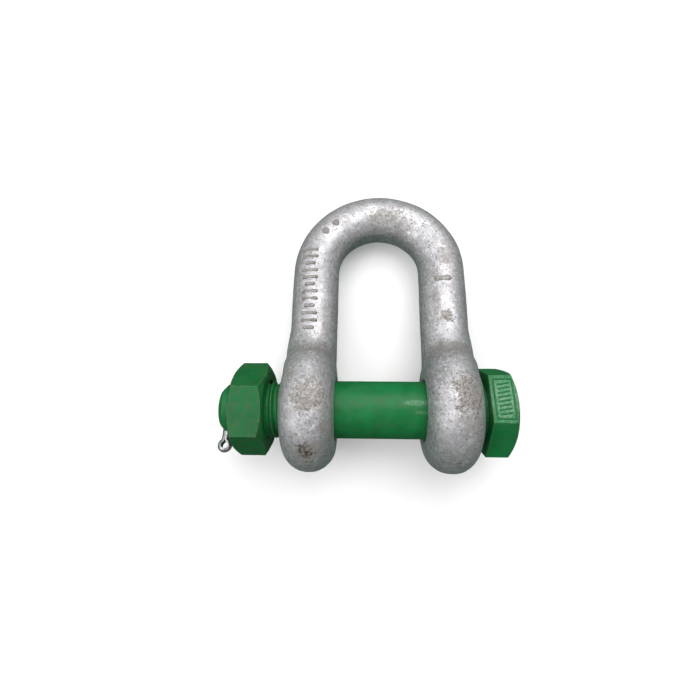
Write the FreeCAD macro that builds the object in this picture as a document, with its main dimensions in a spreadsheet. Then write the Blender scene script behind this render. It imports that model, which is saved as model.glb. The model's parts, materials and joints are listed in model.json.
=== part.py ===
import FreeCAD, Part
import math
import os

import Sketcher
from FreeCAD import Placement, Rotation, Vector

# Bolt-type dee shackle, size 1 in (8.5 t), in millimetres.
# The axis of the bolt is X and the head is at +X. The origin is on that axis, midway between the eyes.
# The bow lies on a level floor: its eyes are thicker than its bar, so the crown, at +Y, lies lower
# than the bolt and every piece is turned about X by the same resting tilt.

SIZES = {
    # bow
    "bar_dia": 25.4,
    "pin_dia": 28.6,
    "jaw_width": 43.0,
    "inside_length": 84.5,
    "leg_set": 0.4,
    "eye_dia": 61.5,
    "eye_width": 26.0,
    "eye_round": 12.5,
    "eye_bore": 30.0,
    "bore_bevel": 1.0,
    "bar_start": 18.0,
    "neck_blend": 12.0,
    "crown_flat": 0.9,
    # safety bolt
    "head_across": 39.5,
    "head_height": 12.7,
    "head_gap": 2.7,
    "head_roll": 52.4,
    "hex_land": 1.0,
    "hex_bevel": 28.0,
    "bolt_reach": 78.6,
    "end_bevel": 2.5,
    "stub_dia": 24.4,
    "stub_length": 7.6,
    # thread, 7 turns to the inch
    "thread_pitch": 3.63,
    "thread_depth": 1.9,
    "thread_crest": 0.45,
    "thread_length": 35.0,
    "thread_play": 0.25,
    # hex nut
    "nut_across": 40.3,
    "nut_height": 16.5,
    "nut_place": 71.5,
    "nut_roll": 13.0,
    # split pin
    "pin_hole_dia": 4.4,
    "pin_hole_place": 75.7,
    "wire_dia": 3.8,
    "slit": 0.12,
    "loop_inside": 1.6,
    "neck_bend": 2.6,
    "neck_start": 15.5,
    "prong_end": 12.9,
    "pin_roll": 8.0,
}

# Sizes that follow from the driving ones, as expressions on the sheet.
CROWN_CENTRE = ("(<<sizes>>.pin_dia / 2 + <<sizes>>.inside_length - <<sizes>>.jaw_width / 2"
                " - <<sizes>>.crown_flat)")
BAR_CENTRE = "((<<sizes>>.jaw_width + <<sizes>>.bar_dia) / 2 + <<sizes>>.leg_set)"
EYE_INNER = "(<<sizes>>.jaw_width / 2)"
EYE_OUTER = "(<<sizes>>.jaw_width / 2 + <<sizes>>.eye_width)"
HEAD_FACE = "(<<sizes>>.jaw_width / 2 + <<sizes>>.eye_width + <<sizes>>.head_gap)"
PIN_RADIUS = "(<<sizes>>.pin_dia / 2)"
BAR_START = "<<sizes>>.bar_start"
EYE_ROUND = "<<sizes>>.eye_round"
EYE_BORE = "(<<sizes>>.eye_bore / 2)"
EYE_RADIUS = "(<<sizes>>.eye_dia / 2)"
PIN_ROLL = "<<sizes>>.pin_roll"
BOLT_END = "(-<<sizes>>.bolt_reach)"
STUB_RADIUS = "(<<sizes>>.stub_dia / 2)"
STUB_END = "(<<sizes>>.stub_length - <<sizes>>.bolt_reach)"
NEAR_FLAT = "(<<sizes>>.slit / 2 - <<sizes>>.pin_hole_place)"
FAR_FLAT = "(-<<sizes>>.slit / 2 - <<sizes>>.pin_hole_place)"
NUT_OUTER = "(-<<sizes>>.nut_place)"
NUT_INNER = "(<<sizes>>.nut_height - <<sizes>>.nut_place)"
NUT_BORE = "(<<sizes>>.pin_dia / 2 - <<sizes>>.thread_depth + 1.5 * <<sizes>>.thread_play)"
THREAD_START = "(-<<sizes>>.bolt_reach - <<sizes>>.thread_pitch / 2)"
NUT_THREAD_START = (f"({THREAD_START} + <<sizes>>.thread_pitch * "
                    "(floor((<<sizes>>.bolt_reach - <<sizes>>.nut_place) / <<sizes>>.thread_pitch) - 0.5))")
REST_TILT = f"-asin((<<sizes>>.eye_dia - <<sizes>>.bar_dia) / 2 / ({CROWN_CENTRE} + {BAR_CENTRE}))"

# How far a cutting section passes the surface that it cuts, and the turns by which the nut's thread
# runs past its ends.
OVERCUT = "1"
EXTRA_TURNS = "3"

# The least volume, in mm3, that a cut or a revolved shape must change.
LEAST_CHANGE = 1.0
ORIGIN_POINT = (-1, 1)
X_AXIS = Vector(1, 0, 0)
Z_AXIS = Vector(0, 0, 1)

doc = FreeCAD.newDocument("dee_shackle")
sheet = doc.addObject("Spreadsheet::Sheet", "sizes")
for row, (word, value) in enumerate(SIZES.items(), start=1):
    sheet.set(f"A{row}", word)
    sheet.set(f"B{row}", str(value))
    sheet.setAlias(f"B{row}", word)
doc.recompute()


def size(expression):
    """The value of an expression on the sheet."""
    value = sheet.evalExpression(expression)
    return getattr(value, "Value", value)


def recompute():
    """Recomputes the document and stops at the first object that failed."""
    doc.recompute()
    for item in doc.Objects:
        failed = "Invalid" in item.State or "Error" in item.State
        assert not failed, f"{item.Label}: {item.getStatusString()}"


def plane(body, role):
    """One of the body's own origin planes."""
    return next(item for item in body.Origin.OriginFeatures if item.Role == role)


def new_body(name):
    """A body that is turned with the rest of the shackle about the bolt's axis."""
    body = doc.addObject("PartDesign::Body", name)
    body.Label = name
    body.Placement = Placement(Vector(), Rotation(X_AXIS, -1))
    body.setExpression("Placement.Rotation.Angle", REST_TILT)
    return body


def new_sketch(body, name, role="XY_Plane", offset=None, roll=None, roll_axis=Z_AXIS):
    """A sketch on an origin plane of the body, rolled and then moved along its own normal."""
    sketch = body.newObject("Sketcher::SketchObject", name)
    sketch.AttachmentSupport = [(plane(body, role), "")]
    sketch.MapMode = "FlatFace"
    if offset:
        sketch.setExpression("AttachmentOffset.Base.z", offset)
    if roll:
        sketch.AttachmentOffset = Placement(Vector(), Rotation(roll_axis, 1))
        sketch.setExpression("AttachmentOffset.Rotation.Angle", roll)
    if offset and roll_axis == X_AXIS:
        sketch.setExpression("AttachmentOffset.Base.y", f"-({offset}) * sin({roll})")
        sketch.setExpression("AttachmentOffset.Base.z", f"({offset}) * cos({roll})")
    return sketch


def fix(sketch, kind, where, expression):
    """A dimension of the sketch, tied to the sheet."""
    index = sketch.addConstraint(Sketcher.Constraint(kind, *where, size(expression)))
    name = f"size{index}"
    sketch.renameConstraint(index, name)
    sketch.setExpression(f"Constraints.{name}", expression)


def relate(sketch, kind, *where):
    sketch.addConstraint(Sketcher.Constraint(kind, *where))


def outline(sketch, corners):
    """A closed outline of straight sides through corners given as pairs of expressions."""
    places = [Vector(size(across), size(up), 0) for across, up in corners]
    for index, start in enumerate(places):
        sketch.addGeometry(Part.LineSegment(start, places[(index + 1) % len(places)]), False)
    for line, (across, up) in enumerate(corners):
        relate(sketch, "Coincident", (line - 1) % len(corners), 2, line, 1)
        fix(sketch, "DistanceX", (*ORIGIN_POINT, line, 1), across)
        fix(sketch, "DistanceY", (*ORIGIN_POINT, line, 1), up)


def ring(sketch, radius, across=None, up=None):
    """A full circle, on the sketch's own axes where a place isn't given."""
    centre = Vector(size(across) if across else 0, size(up) if up else 0, 0)
    circle = sketch.addGeometry(Part.Circle(centre, Z_AXIS, size(radius)), False)
    fix(sketch, "Radius", (circle,), radius)
    if across:
        fix(sketch, "DistanceX", (*ORIGIN_POINT, circle, 3), across)
    else:
        relate(sketch, "PointOnObject", circle, 3, -2)
    if up:
        fix(sketch, "DistanceY", (*ORIGIN_POINT, circle, 3), up)
    else:
        relate(sketch, "PointOnObject", circle, 3, -1)


def hexagon(sketch, across):
    """Six equal sides about the sketch's origin, with two corners on its horizontal axis."""
    corner = size(across) / math.sqrt(3)
    places = [Vector(corner * math.cos(turn), corner * math.sin(turn), 0)
              for turn in (math.radians(60 * side) for side in range(6))]
    for index, start in enumerate(places):
        sketch.addGeometry(Part.LineSegment(start, places[(index + 1) % 6]), False)
    guide = sketch.addGeometry(Part.Circle(Vector(), Z_AXIS, corner), True)
    relate(sketch, "Coincident", guide, 3, *ORIGIN_POINT)
    for side in range(6):
        relate(sketch, "Coincident", (side - 1) % 6, 2, side, 1)
        relate(sketch, "PointOnObject", side, 1, guide)
        if side:
            relate(sketch, "Equal", 0, side)
    relate(sketch, "PointOnObject", 0, 1, -1)
    fix(sketch, "Radius", (guide,), f"{across} / sqrt(3)")


def cut_through(body, sketch, name):
    """Cuts a sketch's outline right through the body, both ways."""
    before = body.Shape.Volume
    pocket = body.newObject("PartDesign::Pocket", name)
    pocket.Profile = sketch
    pocket.Type = "ThroughAll"
    pocket.SideType = "Symmetric"
    recompute()
    assert body.Shape.Volume < before - LEAST_CHANGE, f"{name} removed nothing"


def turn(body, kind, sketch, name):
    """Revolves or grooves a sketch all the way round the X axis."""
    before = body.Shape.Volume if body.Tip else 0
    feature = body.newObject(f"PartDesign::{kind}", name)
    feature.Profile = sketch
    feature.ReferenceAxis = (sketch, ["H_Axis"])
    feature.Angle = 360
    recompute()
    assert abs(body.Shape.Volume - before) > LEAST_CHANGE, f"{name} changed nothing"


def bevel_hexagon(body, name, face, way, across):
    """Turns down the six corners of a hexagon at its end face. The hexagon lies this way from the face."""
    rim = f"({across} / 2 - <<sizes>>.hex_land)"
    beyond = f"({across} / sqrt(3) + {OVERCUT})"
    slope = f"(({beyond} - {rim}) * tan(<<sizes>>.hex_bevel))"
    sketch = new_sketch(body, f"{name}_bevel_section")
    outline(sketch, [(face, rim), (f"{face} {way} {slope}", beyond), (face, beyond)])
    turn(body, "Groove", sketch, f"{name}_bevel")


def cut_thread(body, name, corners, length):
    """A right-hand helical groove along +X whose section is given as pairs of expressions."""
    sketch = new_sketch(body, f"{name}_section")
    outline(sketch, corners)
    recompute()
    before = body.Shape.Volume
    helix = body.newObject("PartDesign::SubtractiveHelix", name)
    helix.Profile = sketch
    helix.ReferenceAxis = (sketch, ["H_Axis"])
    helix.Mode = "pitch-height-angle"
    helix.setExpression("Pitch", "<<sizes>>.thread_pitch")
    helix.setExpression("Height", length)
    helix.LeftHanded = False
    recompute()
    assert body.Shape.Volume < before - LEAST_CHANGE, f"{name} removed nothing"


def build_bow():
    """The forged D-shaped bow: half of it is built at +X and mirrored."""
    body = new_body("bow")

    spine = new_sketch(body, "leg_and_crown")
    centre, height, start = size(BAR_CENTRE), size(CROWN_CENTRE), size(BAR_START)
    leg = spine.addGeometry(Part.LineSegment(Vector(centre, start, 0), Vector(centre, height, 0)), False)
    crown_circle = Part.Circle(Vector(0, height, 0), Z_AXIS, centre)
    crown = spine.addGeometry(Part.ArcOfCircle(crown_circle, 0, math.pi / 2), False)
    relate(spine, "Vertical", leg)
    relate(spine, "Tangent", leg, 2, crown, 1)
    relate(spine, "PointOnObject", crown, 2, -2)
    relate(spine, "PointOnObject", crown, 3, -2)
    fix(spine, "Radius", (crown,), BAR_CENTRE)
    fix(spine, "DistanceY", (*ORIGIN_POINT, crown, 3), CROWN_CENTRE)
    fix(spine, "DistanceY", (*ORIGIN_POINT, leg, 1), BAR_START)

    section = new_sketch(body, "bar_section", "XZ_Plane", offset=f"-{BAR_START}")
    ring(section, "<<sizes>>.bar_dia / 2", across=BAR_CENTRE)
    recompute()
    bar = body.newObject("PartDesign::AdditivePipe", "bar")
    bar.Profile = section
    bar.Spine = spine
    recompute()

    turn(body, "Revolution", eye_section(body), "eye")
    blend_neck(body)

    recompute()
    mirror = body.newObject("PartDesign::Mirrored", "both_sides")
    mirror.TransformMode = "Whole shape"
    mirror.MirrorPlane = (plane(body, "YZ_Plane"), [""])
    body.Tip = mirror
    recompute()

    saddle = new_sketch(body, "crown_flat_section")
    ring(saddle, EYE_INNER, up=f"{CROWN_CENTRE} + <<sizes>>.crown_flat")
    cut_through(body, saddle, "crown_flat")


def eye_section(body):
    """The eye's section at its free end: bevelled bore, flat faces and fully rounded rims."""
    sketch = new_sketch(body, "eye_section", roll="180", roll_axis=X_AXIS)
    inner, outer = size(EYE_INNER), size(EYE_OUTER)
    bore, bevel = size(EYE_BORE), size("<<sizes>>.bore_bevel")
    rounding, rim = size(EYE_ROUND), size(EYE_RADIUS)
    shoulder = rim - rounding
    inner_circle = Part.Circle(Vector(inner + rounding, shoulder, 0), Z_AXIS, rounding)
    outer_circle = Part.Circle(Vector(outer - rounding, shoulder, 0), Z_AXIS, rounding)
    corners = [(inner, shoulder), (inner, bore + bevel), (inner + bevel, bore),
               (outer - bevel, bore), (outer, bore + bevel), (outer, shoulder)]
    lines = [sketch.addGeometry(Part.LineSegment(Vector(*start, 0), Vector(*end, 0)), False)
             for start, end in zip(corners, corners[1:])]
    inner_face, inner_bevel, bore_line, outer_bevel, outer_face = lines
    inner_round = sketch.addGeometry(Part.ArcOfCircle(inner_circle, math.pi / 2, math.pi), False)
    crest = sketch.addGeometry(
        Part.LineSegment(Vector(inner + rounding, rim, 0), Vector(outer - rounding, rim, 0)), False)
    outer_round = sketch.addGeometry(Part.ArcOfCircle(outer_circle, 0, math.pi / 2), False)
    for line, following in zip(lines, lines[1:]):
        relate(sketch, "Coincident", line, 2, following, 1)
    relate(sketch, "Tangent", outer_face, 2, outer_round, 1)
    relate(sketch, "Tangent", outer_round, 2, crest, 2)
    relate(sketch, "Tangent", crest, 1, inner_round, 1)
    relate(sketch, "Tangent", inner_round, 2, inner_face, 1)
    relate(sketch, "Vertical", inner_face)
    relate(sketch, "Vertical", outer_face)
    relate(sketch, "Horizontal", bore_line)
    relate(sketch, "Horizontal", crest)
    relate(sketch, "Equal", inner_round, outer_round)
    fix(sketch, "Radius", (inner_round,), EYE_ROUND)
    fix(sketch, "DistanceY", (*ORIGIN_POINT, crest, 1), EYE_RADIUS)
    fix(sketch, "DistanceY", (*ORIGIN_POINT, bore_line, 1), EYE_BORE)
    fix(sketch, "DistanceX", (*ORIGIN_POINT, bore_line, 1), f"{EYE_INNER} + <<sizes>>.bore_bevel")
    fix(sketch, "DistanceX", (*ORIGIN_POINT, bore_line, 2), f"{EYE_OUTER} - <<sizes>>.bore_bevel")
    for face, end, place in ((inner_face, 2, EYE_INNER), (outer_face, 1, EYE_OUTER)):
        fix(sketch, "DistanceX", (*ORIGIN_POINT, face, end), place)
        fix(sketch, "DistanceY", (*ORIGIN_POINT, face, end), f"{EYE_BORE} + <<sizes>>.bore_bevel")
    return sketch


def blend_neck(body):
    """Rounds the crease, a closed curve, where the bar enters the eye's rim."""
    joined = body.Tip
    crease = [f"Edge{number}" for number, edge in enumerate(joined.Shape.Edges, start=1)
              if isinstance(edge.Curve, Part.BSplineCurve) and edge.BoundBox.YMin > size(BAR_START)]
    blend = body.newObject("PartDesign::Fillet", "neck_blend")
    blend.Base = (joined, crease)
    blend.setExpression("Radius", "<<sizes>>.neck_blend")
    recompute()


def build_bolt():
    """The safety bolt: shank, hexagon head, thread and a plain stub with the hole for the split pin."""
    body = new_body("safety_bolt")
    bevel = "<<sizes>>.end_bevel"
    shank = new_sketch(body, "shank_section")
    outline(shank, [
        (BOLT_END, "0 * " + PIN_RADIUS),
        (BOLT_END, f"{STUB_RADIUS} - {bevel}"),
        (f"{BOLT_END} + {bevel}", STUB_RADIUS),
        (STUB_END, STUB_RADIUS),
        (f"{STUB_END} + {PIN_RADIUS} - {STUB_RADIUS}", PIN_RADIUS),
        (HEAD_FACE, PIN_RADIUS),
        (HEAD_FACE, "0 * " + PIN_RADIUS),
    ])
    turn(body, "Revolution", shank, "shank")

    head_shape = new_sketch(
        body, "head_shape", "YZ_Plane", offset=HEAD_FACE, roll="<<sizes>>.head_roll")
    hexagon(head_shape, "<<sizes>>.head_across")
    head = body.newObject("PartDesign::Pad", "head")
    head.Profile = head_shape
    head.setExpression("Length", "<<sizes>>.head_height")
    recompute()
    bevel_hexagon(body, "head", f"({HEAD_FACE} + <<sizes>>.head_height)", "-", "<<sizes>>.head_across")

    cut_thread(body, "bolt_thread", bolt_thread_section(), "<<sizes>>.thread_length")

    hole = new_sketch(body, "pin_hole_section", "XZ_Plane", roll=f"-{PIN_ROLL}", roll_axis=X_AXIS)
    ring(hole, "<<sizes>>.pin_hole_dia / 2", across="-<<sizes>>.pin_hole_place")
    cut_through(body, hole, "pin_hole")


def bolt_thread_section():
    """The groove between two crests of the bolt's thread, a 60 degree V with a flat bottom."""
    half_mouth = "((<<sizes>>.thread_pitch - <<sizes>>.thread_crest) / 2)"
    half_floor = f"({half_mouth} - <<sizes>>.thread_depth * tan(30))"
    over = "<<sizes>>.thread_play"
    top = f"({PIN_RADIUS} + {over})"
    half_top = f"({half_mouth} + {over} * tan(30))"
    root = f"({PIN_RADIUS} - <<sizes>>.thread_depth)"
    return [
        (f"{THREAD_START} - {half_top}", top),
        (f"{THREAD_START} - {half_floor}", root),
        (f"{THREAD_START} + {half_floor}", root),
        (f"{THREAD_START} + {half_top}", top),
    ]


def nut_thread_section():
    """The groove in the nut that clears one crest of the bolt by the thread's play."""
    play = "<<sizes>>.thread_play"
    half_crest = f"(<<sizes>>.thread_crest / 2 + {play} / cos(30) - {play} * tan(30))"
    floor = f"({PIN_RADIUS} + {play})"
    mouth = f"({PIN_RADIUS} - <<sizes>>.thread_depth)"
    half_mouth = f"({half_crest} + (<<sizes>>.thread_depth + {play}) * tan(30))"
    return [
        (f"{NUT_THREAD_START} - {half_mouth}", mouth),
        (f"{NUT_THREAD_START} - {half_crest}", floor),
        (f"{NUT_THREAD_START} + {half_crest}", floor),
        (f"{NUT_THREAD_START} + {half_mouth}", mouth),
    ]


def build_nut():
    """The hexagon nut, backed off a little from the eye."""
    body = new_body("hex_nut")
    shape = new_sketch(body, "nut_shape", "YZ_Plane", offset=NUT_OUTER, roll="<<sizes>>.nut_roll")
    hexagon(shape, "<<sizes>>.nut_across")
    blank = body.newObject("PartDesign::Pad", "nut_blank")
    blank.Profile = shape
    blank.setExpression("Length", "<<sizes>>.nut_height")
    recompute()
    bevel_hexagon(body, "nut_outer", NUT_OUTER, "+", "<<sizes>>.nut_across")
    bevel_hexagon(body, "nut_inner", NUT_INNER, "-", "<<sizes>>.nut_across")

    bore = new_sketch(body, "nut_bore_section", "YZ_Plane")
    ring(bore, NUT_BORE)
    cut_through(body, bore, "nut_bore")
    lead = f"({PIN_RADIUS} + 2 * <<sizes>>.thread_play)"
    inside = f"({NUT_BORE} - {OVERCUT})"
    for end, face, way in (("outer", NUT_OUTER, "+"), ("inner", NUT_INNER, "-")):
        sketch = new_sketch(body, f"nut_{end}_lead_section")
        outline(sketch, [(face, inside), (f"{face} {way} ({lead} - {inside})", inside), (face, lead)])
        turn(body, "Groove", sketch, f"nut_{end}_lead")
    cut_thread(body, "nut_thread", nut_thread_section(),
               f"<<sizes>>.nut_height + {EXTRA_TURNS} * <<sizes>>.thread_pitch")


def build_split_pin():
    """The split pin: half-round wire folded into a loop, with both prongs through the bolt."""
    body = new_body("split_pin")
    spine = wire_path(body)
    section = new_sketch(body, "wire_section", "XZ_Plane", offset="-<<sizes>>.prong_end",
                         roll=f"-{PIN_ROLL}", roll_axis=X_AXIS)
    flat, half = size(NEAR_FLAT), size("<<sizes>>.wire_dia / 2")
    face = section.addGeometry(Part.LineSegment(Vector(flat, -half, 0), Vector(flat, half, 0)), False)
    back_circle = Part.Circle(Vector(flat, 0, 0), Z_AXIS, half)
    back = section.addGeometry(Part.ArcOfCircle(back_circle, -math.pi / 2, math.pi / 2), False)
    relate(section, "Coincident", face, 1, back, 1)
    relate(section, "Coincident", face, 2, back, 2)
    relate(section, "Vertical", face)
    relate(section, "PointOnObject", back, 3, face)
    relate(section, "PointOnObject", back, 3, -1)
    fix(section, "Radius", (back,), "<<sizes>>.wire_dia / 2")
    fix(section, "DistanceX", (*ORIGIN_POINT, back, 3), NEAR_FLAT)
    recompute()
    wire = body.newObject("PartDesign::AdditivePipe", "wire")
    wire.Profile = section
    wire.Spine = spine
    recompute()


def wire_path(body):
    """The line of the wire's flat face: up one prong, round the loop and down the other."""
    path = new_sketch(body, "wire_path", roll=f"-{PIN_ROLL}", roll_axis=X_AXIS)
    near, far, middle = size(NEAR_FLAT), size(FAR_FLAT), -size("<<sizes>>.pin_hole_place")
    loop, bend = size("<<sizes>>.loop_inside"), size("<<sizes>>.neck_bend")
    neck, tip = size("<<sizes>>.neck_start"), size("<<sizes>>.prong_end")
    lean = math.acos((near - middle + bend) / (loop + bend))
    loop_place = neck + (loop + bend) * math.sin(lean)
    near_circle = Part.Circle(Vector(near + bend, -neck, 0), Z_AXIS, bend)
    far_circle = Part.Circle(Vector(far - bend, -neck, 0), Z_AXIS, bend)
    loop_circle = Part.Circle(Vector(middle, -loop_place, 0), Z_AXIS, loop)
    near_prong, near_bend, eye, far_bend, far_prong = [path.addGeometry(run, False) for run in (
        Part.LineSegment(Vector(near, tip, 0), Vector(near, -neck, 0)),
        Part.ArcOfCircle(near_circle, math.pi, math.pi + lean),
        Part.ArcOfCircle(loop_circle, math.pi - lean, 2 * math.pi + lean),
        Part.ArcOfCircle(far_circle, 2 * math.pi - lean, 2 * math.pi),
        Part.LineSegment(Vector(far, -neck, 0), Vector(far, tip, 0)),
    )]
    relate(path, "Tangent", near_prong, 2, near_bend, 1)
    relate(path, "Tangent", near_bend, 2, eye, 2)
    relate(path, "Tangent", eye, 1, far_bend, 1)
    relate(path, "Tangent", far_bend, 2, far_prong, 1)
    relate(path, "Vertical", near_prong)
    relate(path, "Vertical", far_prong)
    relate(path, "Equal", near_bend, far_bend)
    fix(path, "Radius", (near_bend,), "<<sizes>>.neck_bend")
    fix(path, "Radius", (eye,), "<<sizes>>.loop_inside")
    for prong, end, flat in ((near_prong, 1, NEAR_FLAT), (far_prong, 2, FAR_FLAT)):
        fix(path, "DistanceX", (*ORIGIN_POINT, prong, end), flat)
        fix(path, "DistanceY", (*ORIGIN_POINT, prong, end), "<<sizes>>.prong_end")
        fix(path, "DistanceY", (*ORIGIN_POINT, prong, 3 - end), "-<<sizes>>.neck_start")
    return path


build_bow()
build_bolt()
build_nut()
build_split_pin()
recompute()
os.makedirs("parts", exist_ok=True)
for body in [item for item in doc.Objects if item.TypeId == "PartDesign::Body"]:
    shape = body.Shape
    assert not shape.isNull() and shape.isValid() and len(shape.Solids) == 1, body.Label
    shape.exportStep(f"parts/{body.Label}.step")
    print(f"{body.Label}: {shape.Volume / 1000:.2f} cm3")
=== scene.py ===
import json
import math

import bpy
from mathutils import Matrix, Vector, noise
from mathutils.bvhtree import BVHTree


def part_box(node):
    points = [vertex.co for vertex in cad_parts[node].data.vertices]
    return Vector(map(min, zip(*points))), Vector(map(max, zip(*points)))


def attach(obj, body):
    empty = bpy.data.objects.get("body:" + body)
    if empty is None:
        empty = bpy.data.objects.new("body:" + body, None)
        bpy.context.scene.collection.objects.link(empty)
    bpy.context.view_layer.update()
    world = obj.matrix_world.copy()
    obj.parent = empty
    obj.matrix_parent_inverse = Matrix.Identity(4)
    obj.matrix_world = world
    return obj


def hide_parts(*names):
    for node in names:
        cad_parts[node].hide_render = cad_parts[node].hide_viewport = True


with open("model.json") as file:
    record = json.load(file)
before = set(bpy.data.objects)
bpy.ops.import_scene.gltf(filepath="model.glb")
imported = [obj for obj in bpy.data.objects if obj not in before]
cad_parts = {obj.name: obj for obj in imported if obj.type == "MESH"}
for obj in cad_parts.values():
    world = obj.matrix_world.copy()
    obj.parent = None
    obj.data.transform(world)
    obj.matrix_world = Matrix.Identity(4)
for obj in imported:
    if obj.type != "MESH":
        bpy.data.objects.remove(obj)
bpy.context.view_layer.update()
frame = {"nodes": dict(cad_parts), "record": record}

# A bolt-type dee shackle: galvanised bow, green bolt and nut, zinc-plated split pin. Metres throughout.
# The bow lies back on the floor, so its own flat frame is the row frame turned about the bolt by
# the resting tilt. Places on the bow are given in that flat frame: x along the bolt, y up the legs,
# z out of the flat of the bow, from the middle of the bolt.

MM = 0.001
mounts = {mount["name"]: mount for mount in frame["record"]["mounts"]}
crown = Vector(mounts["crown_saddle"]["pos_m"])
REST_TILT = math.atan2(crown.z, crown.y)
FLAT_TO_ROW = Matrix.Rotation(REST_TILT, 4, "X")
ROW_TO_FLAT = FLAT_TO_ROW.inverted()
JAW = mounts["pin_span"]["dims"]["length_mm"] * MM
bow_low, bow_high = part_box("bow")
EYE_RADIUS = bow_high.z
FLOOR_Z = bow_low.z

# ---------------------------------------------------------------- camera

CAMERA_PLACE = Vector((-0.00733, 0.00036, 0.20900))
CAMERA_TILT = 0.1427
CAMERA_YAW = -0.0366
CAMERA_ROLL = 0.0047
CAMERA_LENS = 21.09


def make_camera():
    """The camera looks down on the bow from close by, leaning a little towards the crown."""
    data = bpy.data.cameras.new("camera")
    data.lens = CAMERA_LENS
    data.clip_start = 0.005
    camera = bpy.data.objects.new("camera", data)
    turn = (Matrix.Rotation(CAMERA_TILT, 4, "X") @ Matrix.Rotation(-CAMERA_YAW, 4, "Y")
            @ Matrix.Rotation(CAMERA_ROLL, 4, "Z"))
    camera.matrix_world = Matrix.Translation(CAMERA_PLACE) @ turn
    bpy.context.scene.collection.objects.link(camera)
    bpy.context.scene.camera = camera


# ---------------------------------------------------------------- materials

BEVEL_SAMPLES = 6


class Surface:
    """A principled material whose patterns are fixed to the piece, in metres."""

    def __init__(self, name, **values):
        self.material = bpy.data.materials.new(name)
        self.material.use_nodes = True
        self.tree = self.material.node_tree
        self.shader = self.tree.nodes["Principled BSDF"]
        for word, value in values.items():
            self.shader.inputs[word.replace("_", " ").title().replace("Ior", "IOR")].default_value = value
        self.place = self.add("TexCoord").outputs["Object"]

    def add(self, kind, settings=None, sockets=None):
        node = self.tree.nodes.new("ShaderNode" + kind)
        for word, value in (settings or {}).items():
            setattr(node, word, value)
        for key, value in (sockets or {}).items():
            if isinstance(value, bpy.types.NodeSocket):
                self.tree.links.new(value, node.inputs[key])
            else:
                node.inputs[key].default_value = value
        return node

    def noise(self, size, detail=3.0, roughness=0.55, distortion=0.0):
        """Noise from 0 to 1 with features of this size."""
        sockets = {"Vector": self.place, "Scale": 1 / size, "Detail": detail,
                   "Roughness": roughness, "Distortion": distortion}
        return self.add("TexNoise", None, sockets).outputs["Fac"]

    def span(self, value, low, high, to_low=0.0, to_high=1.0):
        """Value carried smoothly from low..high to to_low..to_high, and held outside."""
        sockets = {"Value": value, "From Min": low, "From Max": high, "To Min": to_low, "To Max": to_high}
        return self.add("MapRange", {"interpolation_type": "SMOOTHSTEP"}, sockets).outputs["Result"]

    def math(self, operation, first, second):
        return self.add("Math", {"operation": operation}, {0: first, 1: second}).outputs[0]

    def mix(self, share, first, second):
        """Colour first where share is 0 and second where it is 1."""
        colours = [value if isinstance(value, bpy.types.NodeSocket) else (*value, 1.0)
                   for value in (first, second)]
        node = self.add("Mix", {"data_type": "RGBA"}, {"Factor": share, 6: colours[0], 7: colours[1]})
        return node.outputs[2]

    def edges(self, radius):
        """How sharply the surface turns within this radius: near 0 on flats and up at edges."""
        rounded = self.add("Bevel", {"samples": BEVEL_SAMPLES}, {"Radius": radius}).outputs["Normal"]
        plain = self.add("NewGeometry").outputs["Normal"]
        dot = self.add("VectorMath", {"operation": "DOT_PRODUCT"}, {0: rounded, 1: plain}).outputs["Value"]
        return self.math("SUBTRACT", 1.0, dot)

    def spot(self, centre, radii, ragged):
        """1 inside an ellipsoid on the piece, fading out over a ragged edge."""
        offset = self.add("VectorMath", {"operation": "SUBTRACT"}, {0: self.place, 1: centre})
        scaled = self.add("VectorMath", {"operation": "DIVIDE"}, {0: offset.outputs[0], 1: radii})
        reach = self.add("VectorMath", {"operation": "LENGTH"}, {0: scaled.outputs[0]}).outputs["Value"]
        return self.span(self.math("ADD", reach, ragged), 1.25, 0.75)

    def finish(self, colour, roughness, height, depth, edge_radius=0.0):
        """Colour, roughness and relief go to the shader. depth is the height, in metres, of a full step."""
        self.tree.links.new(colour, self.shader.inputs["Base Color"])
        self.tree.links.new(roughness, self.shader.inputs["Roughness"])
        bump = self.add("Bump", None, {"Height": height, "Distance": depth})
        if edge_radius:
            rounded = self.add("Bevel", {"samples": BEVEL_SAMPLES}, {"Radius": edge_radius})
            self.tree.links.new(rounded.outputs["Normal"], bump.inputs["Normal"])
        self.tree.links.new(bump.outputs["Normal"], self.shader.inputs["Normal"])
        return self.material


def on_bow(x, y, z):
    """A place in the bow's flat frame, in mm, as a place in the row frame."""
    return FLAT_TO_ROW @ Vector((x, y, z)) * MM


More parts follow.
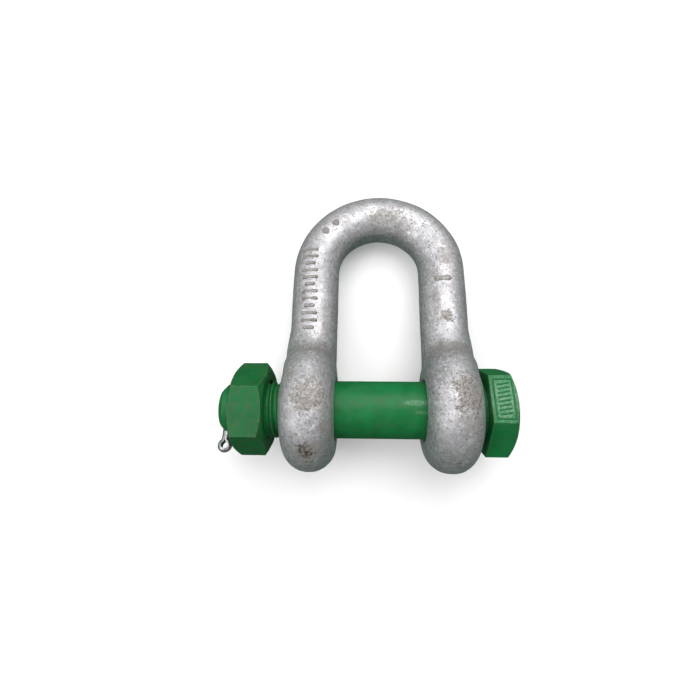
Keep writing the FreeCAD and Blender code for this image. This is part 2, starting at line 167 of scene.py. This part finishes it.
# Stains on the zinc, and two patches of painted shade in the necks where the legs slope up into the eyes:
# centre in the bow's flat frame and reach along x, y and z, in mm, then strength.
EYE_TOP = EYE_RADIUS / MM
STAINS_AND_NECK_SHADE = (
    (on_bow(-32.5, 2.5, EYE_TOP), (7, 9, 8), 0.8),
    (on_bow(-34.0, -22.5, 20.0), (4.0, 5.2, 6), 1.0),
    (on_bow(-28.5, -20.5, 20.0), (4.0, 3.0, 5), 0.6),
    (on_bow(38.0, 2.5, EYE_TOP - 1), (6.5, 10, 8), 0.85),
    (on_bow(39.0, -10.0, 28.0), (5, 6, 6), 0.5),
    (on_bow(35.0, -27.5, 16.0), (1.5, 2.0, 3), 0.9),
    (on_bow(3.0, 106.0, 11.0), (9, 4.5, 8), 0.6),
    (on_bow(13.0, 100.0, 12.0), (6, 5, 6), 0.45),
    (on_bow(36.0, 82.0, 12.0), (5, 7, 6), 0.5),
    (on_bow(34.0, 46.4, 12.7), (3.0, 3.2, 4), 0.8),
    (on_bow(28.8, 54.0, 11.0), (1.8, 8.0, 4), 0.45),
    (on_bow(29.5, 70.0, 11.5), (2.6, 3.0, 4), 0.5),
    (on_bow(-41.0, 12.0, 24.0), (3.0, 2.2, 6), 0.6),
    (on_bow(-25.5, -13.0, 26.0), (2.0, 4.0, 6), 0.6),
    # Painted shade, not stains: the darker band where each leg slopes up into its eye.
    (on_bow(-34.0, 26.0, 13.0), (11, 4.5, 9), 0.65),
    (on_bow(34.0, 27.0, 13.0), (11, 5.0, 9), 0.7),
)
ZINC_RELIEF = 0.09 * MM


def galvanised(name, shade):
    """Hot-dip zinc: cool grey, mottled, with grey specks, small pits and brownish stains, and painted shade
    in the necks where the legs run into the eyes. shade is how much grime and painted shade lies over
    the whole of it."""
    zinc = Surface(name, metallic=0.74, specular_ior_level=0.5)
    mottle = zinc.noise(7.0 * MM, 4, 0.6)
    grain = zinc.noise(1.1 * MM, 3, 0.7)
    patches = zinc.span(zinc.noise(2.4 * MM, 6, 0.75, 0.5), 0.46, 0.58)
    foam = zinc.span(zinc.noise(1.5 * MM, 5, 0.8), 0.52, 0.64)
    specks = zinc.span(zinc.noise(0.9 * MM, 2, 0.5), 0.62, 0.70)
    clots = zinc.span(zinc.noise(2.0 * MM, 4, 0.7, 0.4), 0.60, 0.66)
    clots = zinc.math("MULTIPLY", clots, zinc.span(zinc.noise(11.0 * MM, 2, 0.5), 0.42, 0.58))
    colour = zinc.mix(zinc.span(mottle, 0.3, 0.7), (0.45, 0.445, 0.455), (0.65, 0.635, 0.655))
    colour = zinc.mix(zinc.math("MULTIPLY", patches, 0.65), colour, (0.36, 0.352, 0.36))
    colour = zinc.mix(zinc.math("MULTIPLY", foam, 0.65), colour, (0.88, 0.865, 0.89))
    colour = zinc.mix(zinc.math("MULTIPLY", grain, 0.25), colour, (0.22, 0.215, 0.22))
    colour = zinc.mix(zinc.math("MULTIPLY", specks, 0.8), colour, (0.10, 0.096, 0.090))
    colour = zinc.mix(zinc.math("MULTIPLY", clots, 0.7), colour, (0.13, 0.122, 0.110))
    ragged = zinc.span(zinc.noise(2.2 * MM, 5, 0.75), 0.3, 0.7, -0.55, 0.55)
    crumbs = zinc.span(zinc.noise(1.3 * MM, 4, 0.75), 0.34, 0.60)
    # Grime and painted shade over the whole piece, then the stains and the painted neck shade, in one mask.
    dirt_and_shade = shade
    for centre, reach, strength in STAINS_AND_NECK_SHADE:
        spot = zinc.spot(centre, Vector(reach) * MM, ragged)
        dirt_and_shade = zinc.math("MAXIMUM", dirt_and_shade, zinc.math("MULTIPLY", spot, strength))
    dirt_and_shade = zinc.math("MULTIPLY", dirt_and_shade, zinc.math("ADD", 0.45, zinc.math("MULTIPLY", crumbs, 0.55)))
    # Brown colour of the stains and grime, also used for the painted shade.
    tint = zinc.mix(grain, (0.17, 0.15, 0.125), (0.36, 0.33, 0.285))
    tint = zinc.mix(zinc.span(dirt_and_shade, 0.72, 0.95), tint, (0.075, 0.062, 0.045))
    colour = zinc.mix(dirt_and_shade, colour, tint)
    clean_roughness = zinc.span(mottle, 0.3, 0.7, 0.54, 0.41)
    roughness = zinc.math("ADD", clean_roughness, zinc.math("MULTIPLY", dirt_and_shade, 0.35))
    height = zinc.math("SUBTRACT", zinc.math("ADD", grain, zinc.math("MULTIPLY", foam, 0.6)), specks)
    return zinc.finish(colour, roughness, height, ZINC_RELIEF)


# Pale colour for scuffed paint, and for a painted pale sheen.
PALE_RUB_AND_SHEEN = (0.30, 0.47, 0.36)
BROWN_STEEL = (0.27, 0.21, 0.15)
PAINT_RELIEF = 0.06 * MM
PAINT_ROUNDING = 0.35 * MM


def green_paint(name, edge_radius, wear_share, brown_share, bare=BROWN_STEEL, rubs_and_sheen=(), depth=1.0):
    """Satin green paint on steel: a little uneven, brown where it is rubbed thin, bare along edges.
    The pale places are given with their reach in mm and strength: scuffed paint, and a painted pale sheen
    where light reflects. depth below 1 is a darker coat."""
    paint = Surface(name, metallic=0.0, specular_ior_level=0.22)
    mottle = paint.noise(9.0 * MM, 4, 0.6)
    grain = paint.noise(0.7 * MM, 3, 0.6)
    colour = paint.mix(paint.span(mottle, 0.3, 0.7), (0.0015, 0.125 * depth, 0.028 * depth),
                       (0.003, 0.165 * depth, 0.042 * depth))
    rubbed = paint.span(paint.noise(3.0 * MM, 5, 0.75), 0.40, 0.72)
    colour = paint.mix(paint.math("MULTIPLY", rubbed, brown_share), colour, (0.075, 0.085, 0.040))
    specks = paint.span(paint.noise(1.2 * MM, 3, 0.6), 0.68, 0.76)
    colour = paint.mix(paint.math("MULTIPLY", specks, brown_share), colour, (0.12, 0.06, 0.035))
    # Pale scuffed places, and the painted pale sheen, each broken up by noise.
    for centre, reach, strength in rubs_and_sheen:
        scuff_and_sheen_breakup = paint.span(paint.noise(1.4 * MM, 5, 0.8), 0.42, 0.60, 0.25, 1.0)
        spot = paint.spot(centre, Vector(reach) * MM, paint.span(grain, 0.3, 0.7, -0.3, 0.3))
        share = paint.math("MULTIPLY", paint.math("MULTIPLY", spot, scuff_and_sheen_breakup), strength)
        colour = paint.mix(share, colour, PALE_RUB_AND_SHEEN)
    edge = paint.span(paint.edges(edge_radius), 0.02, 0.12)
    gaps = paint.span(paint.noise(1.6 * MM, 4, 0.7), 0.40, 0.60)
    wear = paint.math("MULTIPLY", paint.math("MULTIPLY", edge, gaps), wear_share)
    colour = paint.mix(wear, colour, bare)
    clean_roughness = paint.span(mottle, 0.3, 0.7, 0.36, 0.48)
    roughness = paint.math("ADD", clean_roughness, paint.math("MULTIPLY", wear, 0.2))
    height = paint.math("SUBTRACT", paint.math("MULTIPLY", grain, 0.4), paint.math("ADD", wear, specks))
    return paint.finish(colour, roughness, height, PAINT_RELIEF, PAINT_ROUNDING)


def bolt_paint(facet_middle):
    """The bolt's paint, with a painted pale sheen on the head's top facet and scuffed on the shank beside
    the +X eye.
    """
    places = (
        # Painted sheen: a pale patch on the head's top facet, where the light reflects.
        (facet_middle, (6.5, 10.5, 8.0), 0.5),
        (Vector((17.0, 3.5, 14.0)) * MM, (6.5, 1.3, 4.0), 0.30),
        (Vector((19.5, -1.0, 14.0)) * MM, (3.0, 0.9, 4.0), 0.22),
    )
    return green_paint("bolt_green", 0.5 * MM, 0.75, 0.25, rubs_and_sheen=places)


WIRE_RELIEF = 0.03 * MM


def zinc_plate():
    """Dull zinc plate on wire, clouded and slightly rough."""
    plate = Surface("zinc_plate", metallic=1.0)
    cloud = plate.noise(2.0 * MM, 3, 0.6)
    colour = plate.mix(plate.span(cloud, 0.35, 0.65), (0.24, 0.235, 0.245), (0.50, 0.49, 0.51))
    roughness = plate.span(cloud, 0.3, 0.7, 0.30, 0.45)
    return plate.finish(colour, roughness, plate.noise(0.5 * MM, 2), WIRE_RELIEF)


# ---------------------------------------------------------------- geometry


def add_piece(name, mesh, material, body):
    """A new piece with one material that moves with a body."""
    piece = bpy.data.objects.new(name, mesh)
    bpy.context.scene.collection.objects.link(piece)
    mesh.materials.clear()
    mesh.materials.append(material)
    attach(piece, body)
    return piece


SKIN_CELL = 0.7 * MM
WELD_REACH = 0.002 * MM


MEAN_SINK = 0.22
PIT_SHARE, PIT_SIZE, PIT_START = 0.6, 2.6, 0.42
# Layers of relief: share in mm, size of its features in mm, and where in the noise it is read.
RELIEF = ((0.16, 14.0, (0, 0, 0)), (0.07, 4.5, (7, 3, 1)), (0.035, 1.9, (2, 9, 4)))


def sink(point):
    """How far the forged and dipped surface lies inside the true shape, in metres."""
    depth = MEAN_SINK
    for share, scale, place in RELIEF:
        depth += share * noise.noise(point / (scale * MM) + Vector(place))
    pit = noise.noise(point / (PIT_SIZE * MM) + Vector((5, 5, 8))) - PIT_START
    return (depth + PIT_SHARE * max(0.0, pit)) * MM


NECK_FILL = 1.8 * MM
NECK_LOW, NECK_FULL, NECK_HIGH = 13 * MM, 25 * MM, 44 * MM
NECK_FADE = 9 * MM


def neck_fill(point):
    """How far the forging swells where a leg runs into its eye, everywhere but on the jaw's side."""
    flat = ROW_TO_FLAT @ point
    if not NECK_LOW < flat.y < NECK_HIGH:
        return 0.0
    rise = (flat.y - NECK_LOW) / (NECK_FULL - NECK_LOW)
    fall = (NECK_HIGH - flat.y) / (NECK_HIGH - NECK_FULL)
    share = min(rise, fall)
    outward = min(1.0, max(0.0, (abs(flat.x) - JAW / 2 - MM) / NECK_FADE))
    return NECK_FILL * share * share * (3 - 2 * share) * outward


def make_bow_skin(material):
    """The bow as a fine even mesh with the low relief of a forging under zinc."""
    source = bpy.data.objects.new("bow_skin_source", frame["nodes"]["bow"].data.copy())
    bpy.context.scene.collection.objects.link(source)
    weld = source.modifiers.new("weld", "WELD")
    weld.merge_threshold = WELD_REACH
    remesh = source.modifiers.new("remesh", "REMESH")
    remesh.mode = "VOXEL"
    remesh.voxel_size = SKIN_CELL
    remesh.use_smooth_shade = True
    smooth = source.modifiers.new("smooth", "SMOOTH")
    smooth.factor = 0.5
    smooth.iterations = 5
    graph = bpy.context.evaluated_depsgraph_get()
    mesh = bpy.data.meshes.new_from_object(source.evaluated_get(graph))
    bpy.data.objects.remove(source)
    for vertex, normal in zip(mesh.vertices, [v.normal.copy() for v in mesh.vertices]):
        moved = vertex.co + normal * (neck_fill(vertex.co) - max(0.0, sink(vertex.co)))
        vertex.co = Vector((min(max(moved[i], bow_low[i]), bow_high[i]) for i in range(3)))
    mesh.update()
    skin = add_piece("bow_skin", mesh, material, "bow")
    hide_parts("bow")
    return skin


# The cross-section of a raised mark: share of its half width, share of its height, extra height in mm.
MARK_PROFILE = ((0.45, 1.0, 0), (0.72, 0.86, 0), (0.9, 0.5, 0), (1.08, 0.14, 0), (1.3, 0.0, -0.05),
                (1.3, 0.0, -0.5))
MARK_STEPS = 8
MARK_DROP = 6 * MM


def mark_outline(half_length, radius):
    """A round-ended outline about a straight core, as (along, across) pairs."""
    points = []
    for side in (1, -1):
        for step in range(MARK_STEPS + 1):
            angle = math.pi * (step / MARK_STEPS - 0.5)
            reach = half_length + radius * math.cos(angle)
            points.append((side * reach, side * radius * math.sin(angle)))
    return points


def make_mark(name, ground, centre, along, out, sizes, look):
    """A plain raised bar, or a pip when its length is its width, that hugs the surface under it.
    sizes are its length, width and height. look is its material, body and slot name; the slot name is not
    used."""
    length, width, height = sizes
    across = out.cross(along).normalized()
    half_core = (length - width) / 2
    verts, faces = [], []
    for share, rise, extra in MARK_PROFILE:
        for u, v in mark_outline(half_core, share * width / 2):
            start = centre + along * u + across * v + out * MARK_DROP
            hit, normal, _, _ = ground.ray_cast(start, -out)
            verts.append(hit + normal * (rise * height + extra * MM))
    ring = 2 * (MARK_STEPS + 1)
    faces.append(list(range(ring)))
    for level in range(len(MARK_PROFILE) - 1):
        for i in range(ring):
            a, b = level * ring + i, level * ring + (i + 1) % ring
            faces.append([a, a + ring, b + ring, b])
    faces.append(list(range(len(verts) - 1, len(verts) - ring - 1, -1)))
    mesh = bpy.data.meshes.new(name)
    mesh.from_pydata(verts, [], faces)
    mesh.shade_smooth()
    material, body, slot = look
    return add_piece(name, mesh, material, body)


def ground_of(piece):
    """The surface of a piece, for marks to sit on."""
    return BVHTree.FromPolygons([v.co.copy() for v in piece.data.vertices],
                                [list(p.vertices) for p in piece.data.polygons])


# Marks on the bow, in its flat frame and mm. They are dropped onto it from this height.
MARK_Z = 12
BARS = 12
BAR_FIRST, BAR_STEP = 39.5, 4.1
BAR_X, BAR_DRIFT = -36.0, -0.9
BAR_LENGTHS = (5.4, 8.2, 8.2)
BAR_WIDTH, BAR_HEIGHT = 1.9, 0.7
CROWN_PIPS = ((-29.0, 96.2), (-23.7, 101.2))
CROWN_PIP_SIZES = Vector((3.6, 3.4, 0.6)) * MM
LEG_PIP = (33.2, 67.4)
LEG_PIP_SIZES = Vector((8.4, 2.8, 0.7)) * MM


def make_bow_marks(skin, material):
    """Plain raised bars and pips where a real bow carries forged marks."""
    ground = ground_of(skin)
    out = (FLAT_TO_ROW.to_3x3() @ Vector((0, 0, 1))).normalized()
    up_leg = (FLAT_TO_ROW.to_3x3() @ Vector((0, 1, 0))).normalized()
    along_bolt = Vector((1, 0, 0))
    look = (material, "bow", "galvanised")
    for index in range(BARS):
        place = on_bow(BAR_X + BAR_DRIFT * (index / BARS), BAR_FIRST + BAR_STEP * index, MARK_Z)
        sizes = Vector((BAR_LENGTHS[index % len(BAR_LENGTHS)], BAR_WIDTH, BAR_HEIGHT)) * MM
        make_mark(f"leg_bar_{index + 1:02d}", ground, place, along_bolt, out, sizes, look)
    for index, place in enumerate(CROWN_PIPS):
        make_mark(f"crown_pip_{index + 1}", ground, on_bow(*place, MARK_Z), up_leg, out,
                  CROWN_PIP_SIZES, look)
    make_mark("leg_pip", ground, on_bow(*LEG_PIP, MARK_Z), along_bolt, out, LEG_PIP_SIZES, look)


SIDEWAYS = 0.01
SMALL_FACE = 1e-6
PARALLEL = 0.9999


def top_facet(node, low_x):
    """Middle and normal of the hexagon facet beyond low_x that faces up the most."""
    mesh = frame["nodes"][node].data
    beyond = [p for p in mesh.polygons if p.center.x > low_x]
    upright = [p for p in beyond if abs(p.normal.x) < SIDEWAYS and p.area > SMALL_FACE]
    normal = max(upright, key=lambda p: round(p.normal.z, 3)).normal.copy()
    members = [mesh.vertices[i].co for p in beyond if p.normal.dot(normal) > PARALLEL for i in p.vertices]
    low = Vector((min(v[i] for v in members) for i in range(3)))
    high = Vector((max(v[i] for v in members) for i in range(3)))
    return (low + high) / 2, normal


# The rim and ribs on the head, as length, width and height. Ribs lean by a share of their length.
RIM_WIDE, RIM_DEEP = 19.0 * MM, 8.6 * MM
RIM_WIDTH, RIM_HEIGHT = 0.8 * MM, 0.35 * MM
RIBS = 8
RIB_STEP = 2.05 * MM
RIB_LEAN = 0.18
RIB_SIZES = Vector((5.8, 0.75, 0.32)) * MM


def make_head_marks(material):
    """A plain rim with parallel ribs on the head's top facet."""
    ground = ground_of(frame["nodes"]["safety_bolt"])
    middle, out = top_facet("safety_bolt", bow_high.x)
    along = Vector((1, 0, 0))
    across = out.cross(along).normalized()
    look = (material, "safety_bolt", "green_paint")
    for index, side in enumerate((1, -1)):
        make_mark(f"head_rim_{index + 1}", ground, middle + along * (side * RIM_DEEP / 2), across, out,
                  (RIM_WIDE, RIM_WIDTH, RIM_HEIGHT), look)
        make_mark(f"head_rim_{index + 3}", ground, middle + across * (side * RIM_WIDE / 2), along, out,
                  (RIM_DEEP, RIM_WIDTH, RIM_HEIGHT), look)
    slant = (along + across * RIB_LEAN).normalized()
    for index in range(RIBS):
        shift = (index - (RIBS - 1) / 2) * RIB_STEP
        make_mark(f"head_rib_{index + 1}", ground, middle + across * shift, slant, out, RIB_SIZES, look)


def paint_node(name, material):
    """Gives a CAD node its material."""
    node = frame["nodes"][name]
    for holder in node.material_slots:
        holder.material = material


# ---------------------------------------------------------------- stage and light

# The sky's colour from straight below (0) to straight above (1): a dark green ground, then pale.
SKY = ((0.0, (0.09, 0.16, 0.12)), (0.46, (0.12, 0.20, 0.155)), (0.54, (0.40, 0.44, 0.42)),
       (0.75, (0.60, 0.60, 0.61)), (1.0, (0.78, 0.775, 0.79)))
SKY_STRENGTH = 0.75


def revolved(name, profile, steps=96):
    """A smooth sheet made by turning a profile of (radius, height) points about the vertical."""
    verts = [(radius * math.cos(turn), radius * math.sin(turn), height) for radius, height in profile
             for turn in (2 * math.pi * step / steps for step in range(steps))]
    faces = [(ring * steps + step, ring * steps + (step + 1) % steps,
              (ring + 1) * steps + (step + 1) % steps, (ring + 1) * steps + step)
             for ring in range(len(profile) - 1) for step in range(steps)]
    mesh = bpy.data.meshes.new(name)
    mesh.from_pydata(verts, [], faces)
    mesh.shade_smooth()
    sheet = bpy.data.objects.new(name, mesh)
    bpy.context.scene.collection.objects.link(sheet)
    return sheet


FLOOR_REACH = 0.55
BOWL_REACH = 2.5
BOWL_BENDS = 16
PINHOLE = 0.0001
PALE = (0.98, 0.98, 0.975, 1)


def make_stage():
    """A plain pale floor in a wide pale bowl. Neither lights the object, so its lower sides stay dark."""
    floor = revolved("floor", ((PINHOLE, FLOOR_Z), (FLOOR_REACH, FLOOR_Z)))
    pale = Surface("pale_floor", base_color=(0.80, 0.80, 0.79, 1), roughness=0.9, specular_ior_level=0.1,
                   emission_color=PALE, emission_strength=0.2)
    floor.data.materials.append(pale.material)
    arc = [math.pi / 2 * bend / BOWL_BENDS for bend in range(BOWL_BENDS + 1)]
    rise = BOWL_REACH - FLOOR_REACH
    wall = [(FLOOR_REACH + rise * math.sin(turn), FLOOR_Z + rise * (1 - math.cos(turn))) for turn in arc]
    bowl = revolved("bowl", (*wall, (PINHOLE, FLOOR_Z + 2 * rise)))
    glow = Surface("pale_bowl", base_color=(0, 0, 0, 1), emission_color=PALE, emission_strength=1.0,
                   specular_ior_level=0.0)
    bowl.data.materials.append(glow.material)
    bowl.visible_shadow = False
    for sheet in (floor, bowl):
        sheet.visible_glossy = False
        sheet.visible_diffuse = False


def make_sky():
    """A soft sky whose colour depends on height alone."""
    world = bpy.data.worlds.new("sky")
    bpy.context.scene.world = world
    world.use_nodes = True
    nodes, links = world.node_tree.nodes, world.node_tree.links
    where = nodes.new("ShaderNodeTexCoord")
    split = nodes.new("ShaderNodeSeparateXYZ")
    height = nodes.new("ShaderNodeMapRange")
    height.inputs["From Min"].default_value = -1.0
    ramp = nodes.new("ShaderNodeValToRGB")
    while len(ramp.color_ramp.elements) < len(SKY):
        ramp.color_ramp.elements.new(0.5)
    for element, (place, colour) in zip(ramp.color_ramp.elements, SKY):
        element.position = place
        element.color = (*colour, 1.0)
    links.new(where.outputs["Generated"], split.inputs[0])
    links.new(split.outputs["Z"], height.inputs["Value"])
    links.new(height.outputs["Result"], ramp.inputs["Fac"])
    links.new(ramp.outputs["Color"], nodes["Background"].inputs["Color"])
    nodes["Background"].inputs["Strength"].default_value = SKY_STRENGTH


LIGHT_SIZE = 0.60
LIGHT_TARGET = Vector((0, 0.03, 0))


def make_light(name, place, power):
    """A square soft light that faces the middle of the object."""
    data = bpy.data.lights.new(name, "AREA")
    data.shape = "RECTANGLE"
    data.size = data.size_y = LIGHT_SIZE
    data.energy = power
    light = bpy.data.objects.new(name, data)
    light.location = place
    light.rotation_euler = (LIGHT_TARGET - Vector(place)).to_track_quat("-Z", "Y").to_euler()
    bpy.context.scene.collection.objects.link(light)


# ---------------------------------------------------------------- making

bpy.context.scene.view_settings.view_transform = "Standard"
make_camera()
make_stage()
make_sky()
make_light("key", (0.13, 0.37, 0.54), 4.0)
make_light("fill", (-0.45, 0.00, 0.55), 2.4)

skin = make_bow_skin(galvanised("galvanised", 0.0))
# The marks' zinc is darkened all over: grime, and painted shade for the shadows along their edges.
make_bow_marks(skin, galvanised("galvanised_marks", 0.8))
paint_node("safety_bolt", bolt_paint(top_facet("safety_bolt", bow_high.x)[0]))
paint_node("hex_nut", green_paint("nut_green", 0.5 * MM, 0.9, 0.45, (0.34, 0.28, 0.20), depth=0.78))
make_head_marks(green_paint("worn_green", 0.4 * MM, 1.0, 0.3, (0.42, 0.50, 0.42)))
paint_node("split_pin", zinc_plate())
